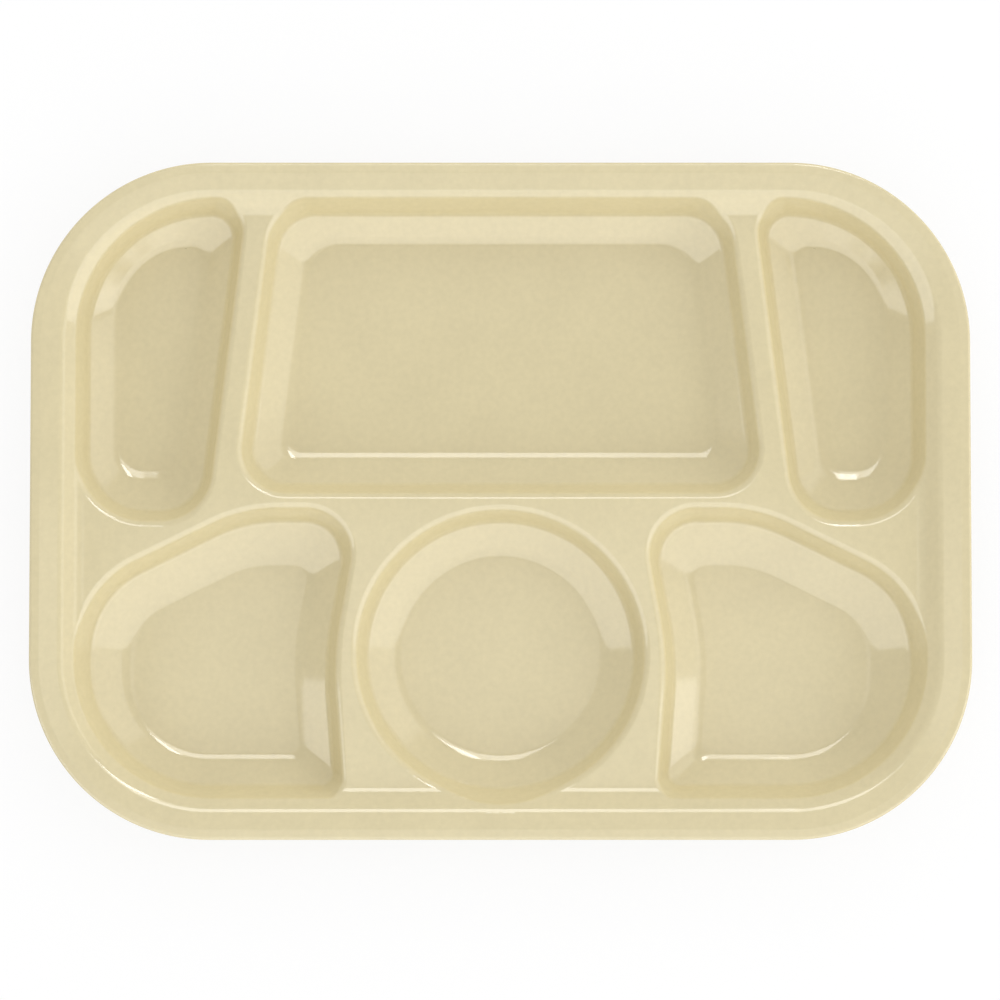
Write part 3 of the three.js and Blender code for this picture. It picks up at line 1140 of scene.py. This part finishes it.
@dataclass
class RimAndWeb:
    """The rim with its rounded edge, and the flat webs between the wells."""

    bowl: Bowl
    collars: list[Plan]
    ring_clearance: float = 0.4
    edge_steps: int = 10
    round_steps: int = 4
    merge_distance: float = 1e-4
    inset_digits: int = 3

    def rings(self) -> Plan:
        """Spare points on the rim's section lines, clear of the wells.

        Returns:
            Plan points.
        """
        insets = np.unique(self.bowl.insets.round(self.inset_digits))[1:-1]
        points = np.concatenate([self.bowl.outline.loop(inset) for inset in insets])
        for collar in self.collars:
            clear = ~inside(points, collar) & (distance_to_loop(points, collar) > self.ring_clearance)
            points = points[clear]
        return points

    @cached_property
    def triangles(self) -> tuple[Plan, np.ndarray, np.ndarray]:
        """Rim and web in plan, cut along the outer edge, the rim's foot and the collars.

        Returns:
            Plan points, triangles and the points of the outer edge in order.
        """
        outline = self.bowl.outline
        edge = outline.loop(self.bowl.section.land_inset)
        loops = [edge, outline.loop(self.bowl.foot_inset + HALF_SEAM), *self.collars]
        links = []
        first = 0
        for loop in loops:
            links += [(first + i, first + (i + 1) % len(loop)) for i in range(len(loop))]
            first += len(loop)
        given = np.concatenate((*loops, self.rings()))
        points, _, faces, sources, _, _ = delaunay_2d_cdt(
            [Vector(point) for point in given], links, [], 0, self.merge_distance,
        )
        number = {source: place for place, group in enumerate(sources) for source in group}
        return np.array(points), np.array(faces), np.array([number[i] for i in range(len(edge))])

    def slab(self, wanted: np.ndarray, open_edge: np.ndarray) -> tuple[PieceMesh, np.ndarray, np.ndarray]:
        """Turns triangles of the plan into a piece with an upper and a lower face.

        Args:
            wanted: Truth value for each triangle.
            open_edge: Points of a line of the plan that gets no side.

        Returns:
            The mesh, and the numbers of the plan's points on its upper and lower face.
        """
        plan, triangles, _ = self.triangles
        chosen = triangles[wanted]
        used = np.unique(chosen)
        spots = plan[used]
        piece = PieceMesh()
        upper = np.full(len(plan), -1)
        lower = np.full(len(plan), -1)
        upper[used] = piece.add_points(raised(spots, self.bowl.top(spots)))
        lower[used] = piece.add_points(raised(spots, self.bowl.bottom(spots)))
        normals = np.zeros((len(plan), 3))
        normals[used] = self.bowl.normal(spots)
        piece.add_faces(upper[chosen], normals[chosen])
        piece.add_faces(lower[chosen[:, ::-1]], -normals[chosen[:, ::-1]])
        edges = np.concatenate((chosen[:, :2], chosen[:, 1:], chosen[:, [2, 0]]))
        _, place, count = np.unique(np.sort(edges, axis=1), axis=0, return_index=True, return_counts=True)
        sides = edges[place[count == 1]]
        sides = sides[~np.isin(sides, open_edge).all(axis=1)]
        start, end = sides.T
        along = unit(plan[end] - plan[start])
        out = raised(np.column_stack((along[:, 1], -along[:, 0])), np.zeros(len(sides)))
        corners = np.column_stack((upper[start], lower[start], lower[end], upper[end]))
        piece.add_faces(corners, np.repeat(out[:, None], 4, axis=1))
        return piece, upper, lower

    def edge_stations(self) -> list[tuple[float, float, float]]:
        """Stations of the land, the rounded edge and its skirt, from the upper face round to the lower face.

        Returns:
            Inset, height and angle of the normal above the horizontal, in radians.
        """
        part = self.bowl.section
        crest = self.bowl.crest_z
        foot = crest - part.edge_radius - part.edge_skirt
        bend = part.skirt_round
        quarter = math.pi / 2
        rows = []
        for angle in np.linspace(quarter, 0.0, self.edge_steps + 1):
            rows.append((part.edge_radius * (1 - math.cos(angle)),
                         crest - part.edge_radius * (1 - math.sin(angle)), angle))
        for angle in np.linspace(0.0, -quarter, self.round_steps + 1):
            rows.append((bend * (1 - math.cos(angle)), foot + bend * (1 + math.sin(angle)), angle))
        for angle in np.linspace(-quarter, -2 * quarter, self.round_steps + 1):
            rows.append((self.bowl.shell - bend * (1 + math.cos(angle)),
                         foot + bend * (1 + math.sin(angle)), angle))
        # From here an even chamfer leads to the lower face, which starts at the land's inset.
        rows.append((self.bowl.shell, crest - part.land_inset, -2 * quarter))
        return rows

    def add_edge(self, piece: PieceMesh, top: np.ndarray, bottom: np.ndarray) -> None:
        """Closes the rim along its outer edge.

        Args:
            piece: The rim's mesh, open along that edge.
            top: Vertex numbers of the edge on the upper face.
            bottom: Vertex numbers of the edge on the lower face.
        """
        outline = self.bowl.outline
        out = -outline.inwards(outline.loop(0.0))
        ring, ring_normals = top, np.tile((0.0, 0.0, 1.0), (len(top), 1))
        for inset, z, angle in self.edge_stations():
            following = piece.add_points(raised(outline.loop(inset), z))
            normals = raised(out * math.cos(angle), math.sin(angle))
            piece.add_strip(ring, following, ring_normals, normals)
            ring, ring_normals = following, normals
        piece.add_strip(ring, bottom, ring_normals, np.tile((0.0, 0.0, -1.0), (len(bottom), 1)))

    def build(self, finish: Melamine) -> None:
        """Makes and dresses the rim and the web.

        Args:
            finish: The finish of the moulding.
        """
        plan, triangles, edge = self.triangles
        middles = plan[triangles].mean(axis=1)
        insets = self.bowl.outline.inset(middles)
        solid = insets > self.bowl.section.land_inset - self.merge_distance
        for collar in self.collars:
            solid &= ~inside(middles, collar)
        on_rim = insets < self.bowl.foot_inset + HALF_SEAM
        rim, upper, lower = self.slab(solid & on_rim, edge)
        self.add_edge(rim, upper[edge], lower[edge])
        finish.dress(rim.to_object("moulded_rim"), "rim")
        web, _, _ = self.slab(solid & ~on_rim, edge)
        finish.dress(web.to_object("moulded_divider_web"), "divider_web")


class Seen(Enum):
    """What a lamp does: light the surface softly, or show in its gloss."""

    SHADE = "shade"
    GLOSS = "gloss"


@dataclass(frozen=True)
class Lamp:
    """A bright studio surface of even radiance, where 1 is white."""

    name: str
    seen: Seen
    radiance: float

    def build(self, aim: Vector) -> None:
        """Hangs the lamp for a tray at a point, in metres."""
        raise NotImplementedError

    def hang(self, place: Vector, facing: Quaternion, wide: float, high: float) -> None:
        """Makes the lamp.

        Args:
            place: Its middle, in metres.
            facing: Its turn from lying flat and shining down.
            wide: Its width, in metres.
            high: Its height, in metres.
        """
        light = bpy.data.lights.new(self.name, "AREA")
        light.shape = "RECTANGLE"
        light.size, light.size_y = wide, high
        light.energy = self.radiance * math.pi * wide * high
        lamp = bpy.data.objects.new(self.name, light)
        lamp.location = place
        lamp.rotation_euler = facing.to_euler()
        lamp.visible_camera = False
        lamp.visible_diffuse = self.seen is Seen.SHADE
        lamp.visible_glossy = self.seen is Seen.GLOSS
        bpy.context.scene.collection.objects.link(lamp)
        LOG.info("lamp %s", self.name)


@dataclass(frozen=True)
class Card(Lamp):
    """A card that faces the tray; angles in degrees as seen from it, distance in metres.

    The bearing is measured from +X towards +Y and the tilt from straight up.
    """

    bearing: float
    tilt: float = 70.0
    wide: float = 70.0
    high: float = 40.0
    distance: float = 2.5

    def build(self, aim: Vector) -> None:
        """Hangs the card, facing the tray.

        Args:
            aim: The point that it faces, in metres.
        """
        bearing, tilt = math.radians(self.bearing), math.radians(self.tilt)
        direction = Vector((
            math.sin(tilt) * math.cos(bearing), math.sin(tilt) * math.sin(bearing), math.cos(tilt),
        ))
        size = [2 * self.distance * math.tan(math.radians(span) / 2) for span in (self.wide, self.high)]
        self.hang(aim + direction * self.distance, (-direction).to_track_quat("-Z", "Y"), *size)


@dataclass(frozen=True)
class Panel(Lamp):
    """A panel that lies flat overhead; metres from the tray's middle.

    Panels that overlap hang at different heights, because gloss shows only one of two in the same plane.
    """

    x: tuple[float, float]
    y: tuple[float, float]
    height: float = 4.0

    def build(self, aim: Vector) -> None:
        """Hangs the panel over the tray.

        Args:
            aim: The point that it hangs above, in metres.
        """
        middle = Vector((sum(self.x) / 2, sum(self.y) / 2, self.height))
        self.hang(aim + middle, Quaternion(), self.x[1] - self.x[0], self.y[1] - self.y[0])


@dataclass(frozen=True)
class Studio:
    """Plain pale floor, even room light, soft lights around and bright panels overhead."""

    lamps: tuple[Lamp, ...] = (
        Card("right_light", Seen.SHADE, 1.3, bearing=0.0),
        Card("front_light", Seen.SHADE, 1.2, bearing=-90.0),
        Card("back_light", Seen.SHADE, 1.1, bearing=90.0),
        Panel("front_panel", Seen.GLOSS, 2.25, x=(-10.5, 10.5), y=(-10.5, -0.3)),
        Panel("near_panel", Seen.GLOSS, 0.8, x=(-0.52, 0.52), y=(-0.245, 0.2)),
        Panel("right_panel", Seen.GLOSS, 1.1, x=(3.0, 6.9), y=(-0.245, 4.0)),
        Panel("back_glow", Seen.GLOSS, 0.25, x=(-0.55, 0.75), y=(0.45, 0.8)),
        Panel("back_panel", Seen.GLOSS, 3.7, x=(-0.55, 0.75), y=(0.8, 2.7)),
        Panel("back_window", Seen.GLOSS, 1.0, x=(-0.55, 0.2), y=(0.8, 2.7), height=3.9),
        Panel("streak", Seen.GLOSS, 10.0, x=(0.5, 1.1), y=(1.3, 3.1), height=3.8),
        Card("low_front_card", Seen.GLOSS, 0.4, bearing=-90.0, tilt=76.0, wide=120.0, high=28.0),
        Card("low_right_card", Seen.GLOSS, 0.8, bearing=0.0, tilt=76.0, wide=60.0, high=28.0),
    )
    room_level: float = 0.77
    floor_size: float = 12.0
    floor_drop: float = 0.0002
    floor_colour: Colour = (0.97, 0.97, 0.97)
    floor_glow: float = 0.85

    @staticmethod
    def shown(board: Board) -> Wire:
        """Marks the rays that see the white surroundings.

        Args:
            board: The node tree to work in.

        Returns:
            1 for a ray straight from the camera, mirrored or through glass, and 0 for any other.
        """
        rays = board.node("ShaderNodeLightPath", {}, {}, "Is Camera Ray") \
            + board.node("ShaderNodeLightPath", {}, {}, "Is Glossy Ray") \
            + board.node("ShaderNodeLightPath", {}, {}, "Is Transmission Ray")
        return board.math("MINIMUM", rays, 1.0)

    def floor_material(self) -> bpy.types.Material:
        """White floor that keeps a faint shadow.

        Returns:
            The material.
        """
        material = bpy.data.materials.new("studio_floor")
        material.use_nodes = True
        board = Board(material.node_tree)
        paint = board.node("ShaderNodeBsdfDiffuse", {}, {"Color": (*self.floor_colour, 1.0)})
        glow = board.node("ShaderNodeEmission", {}, {"Color": (1.0, 1.0, 1.0, 1.0), "Strength": 1.0})
        share = self.shown(board) * self.floor_glow
        mixed = board.node("ShaderNodeMixShader", {}, {0: share, 1: paint, 2: glow})
        board.node("ShaderNodeOutputMaterial", {}, {"Surface": mixed})
        return material

    def light_room(self) -> None:
        """Lights the tray evenly from a room that looks white."""
        world = bpy.data.worlds.new("studio_room")
        bpy.context.scene.world = world
        world.use_nodes = True
        board = Board(world.node_tree)
        level = self.room_level + self.shown(board) * (1.0 - self.room_level)
        room = board.node("ShaderNodeBackground", {}, {"Color": (1.0, 1.0, 1.0, 1.0), "Strength": level})
        board.node("ShaderNodeOutputWorld", {}, {"Surface": room})

    def build(self, aim: Vector) -> None:
        """Lays the floor, lights the room and hangs the lamps.

        Args:
            aim: The point that the lamps are hung around, in metres.
        """
        half = self.floor_size / 2
        signs = ((-1, -1), (1, -1), (1, 1), (-1, 1))
        corners = [(half * x, half * y, -self.floor_drop) for x, y in signs]
        mesh = bpy.data.meshes.new("studio_floor")
        mesh.from_pydata(corners, [], [range(len(corners))])
        floor = bpy.data.objects.new("studio_floor", mesh)
        bpy.context.scene.collection.objects.link(floor)
        mesh.materials.append(self.floor_material())
        floor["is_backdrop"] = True
        self.light_room()
        for lamp in self.lamps:
            lamp.build(aim)


@dataclass(frozen=True)
class PhotoCamera:
    """Camera at the photograph's viewing angle; metres, degrees and pixels."""

    elevation: float = 87.0
    distance: float = 1.4
    px_per_metre: float = 2646.0
    aim_offset: tuple[float, float] = (-0.0002, -0.0002)
    sensor: float = 36.0

    def build(self, crest: float) -> None:
        """Places the camera.

        Args:
            crest: Height of the tray's crest, in metres.
        """
        camera = bpy.data.cameras.new("photo_camera")
        camera.sensor_width = self.sensor
        camera.lens = self.sensor * self.px_per_metre * self.distance / PHOTO_WIDTH_PX
        camera_object = bpy.data.objects.new("photo_camera", camera)
        up = math.radians(self.elevation)
        back = Vector((0.0, -math.cos(up), math.sin(up)))
        camera_object.location = Vector((*self.aim_offset, crest)) + back * self.distance
        camera_object.rotation_euler = (math.pi / 2 - up, 0.0, 0.0)
        bpy.context.scene.collection.objects.link(camera_object)
        bpy.context.scene.camera = camera_object


def main() -> None:
    """Builds the tray, its studio and its camera in order."""
    logging.basicConfig(level=logging.INFO, format="%(name)s: %(message)s")
    cad_low, cad_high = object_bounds()
    floor_low, floor_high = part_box("main_well_floor")
    deck_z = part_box("divider_web")[1].z / METRE
    floor_z = floor_high.z / METRE
    shell = (floor_high.z - floor_low.z) / METRE
    size = (cad_high - cad_low) / METRE
    outline = TrayOutline(size.x, size.y)
    bowl = Bowl(outline, RimSection(), deck_z, shell)
    shared = (WellField(outline), WallSection(floor_z, deck_z - floor_z), bowl)
    wells = [
        MainWell(WellName.MAIN, *shared),
        SideWell(WellName.LEFT_SIDE, *shared),
        SideWell(WellName.RIGHT_SIDE, *shared),
        CupWell(WellName.CUP, *shared),
        CornerWell(WellName.LEFT_CORNER, *shared),
        CornerWell(WellName.RIGHT_CORNER, *shared),
    ]
    finish = Melamine()
    RimAndWeb(bowl, [well.wall.collar for well in wells]).build(finish)
    for well in wells:
        well.build(finish)
    Studio().build(Vector((0.0, 0.0, cad_high.z)))
    PhotoCamera().build(cad_high.z)
    bpy.context.scene.view_settings.view_transform = "Standard"


if __name__ == "__main__":
    main()
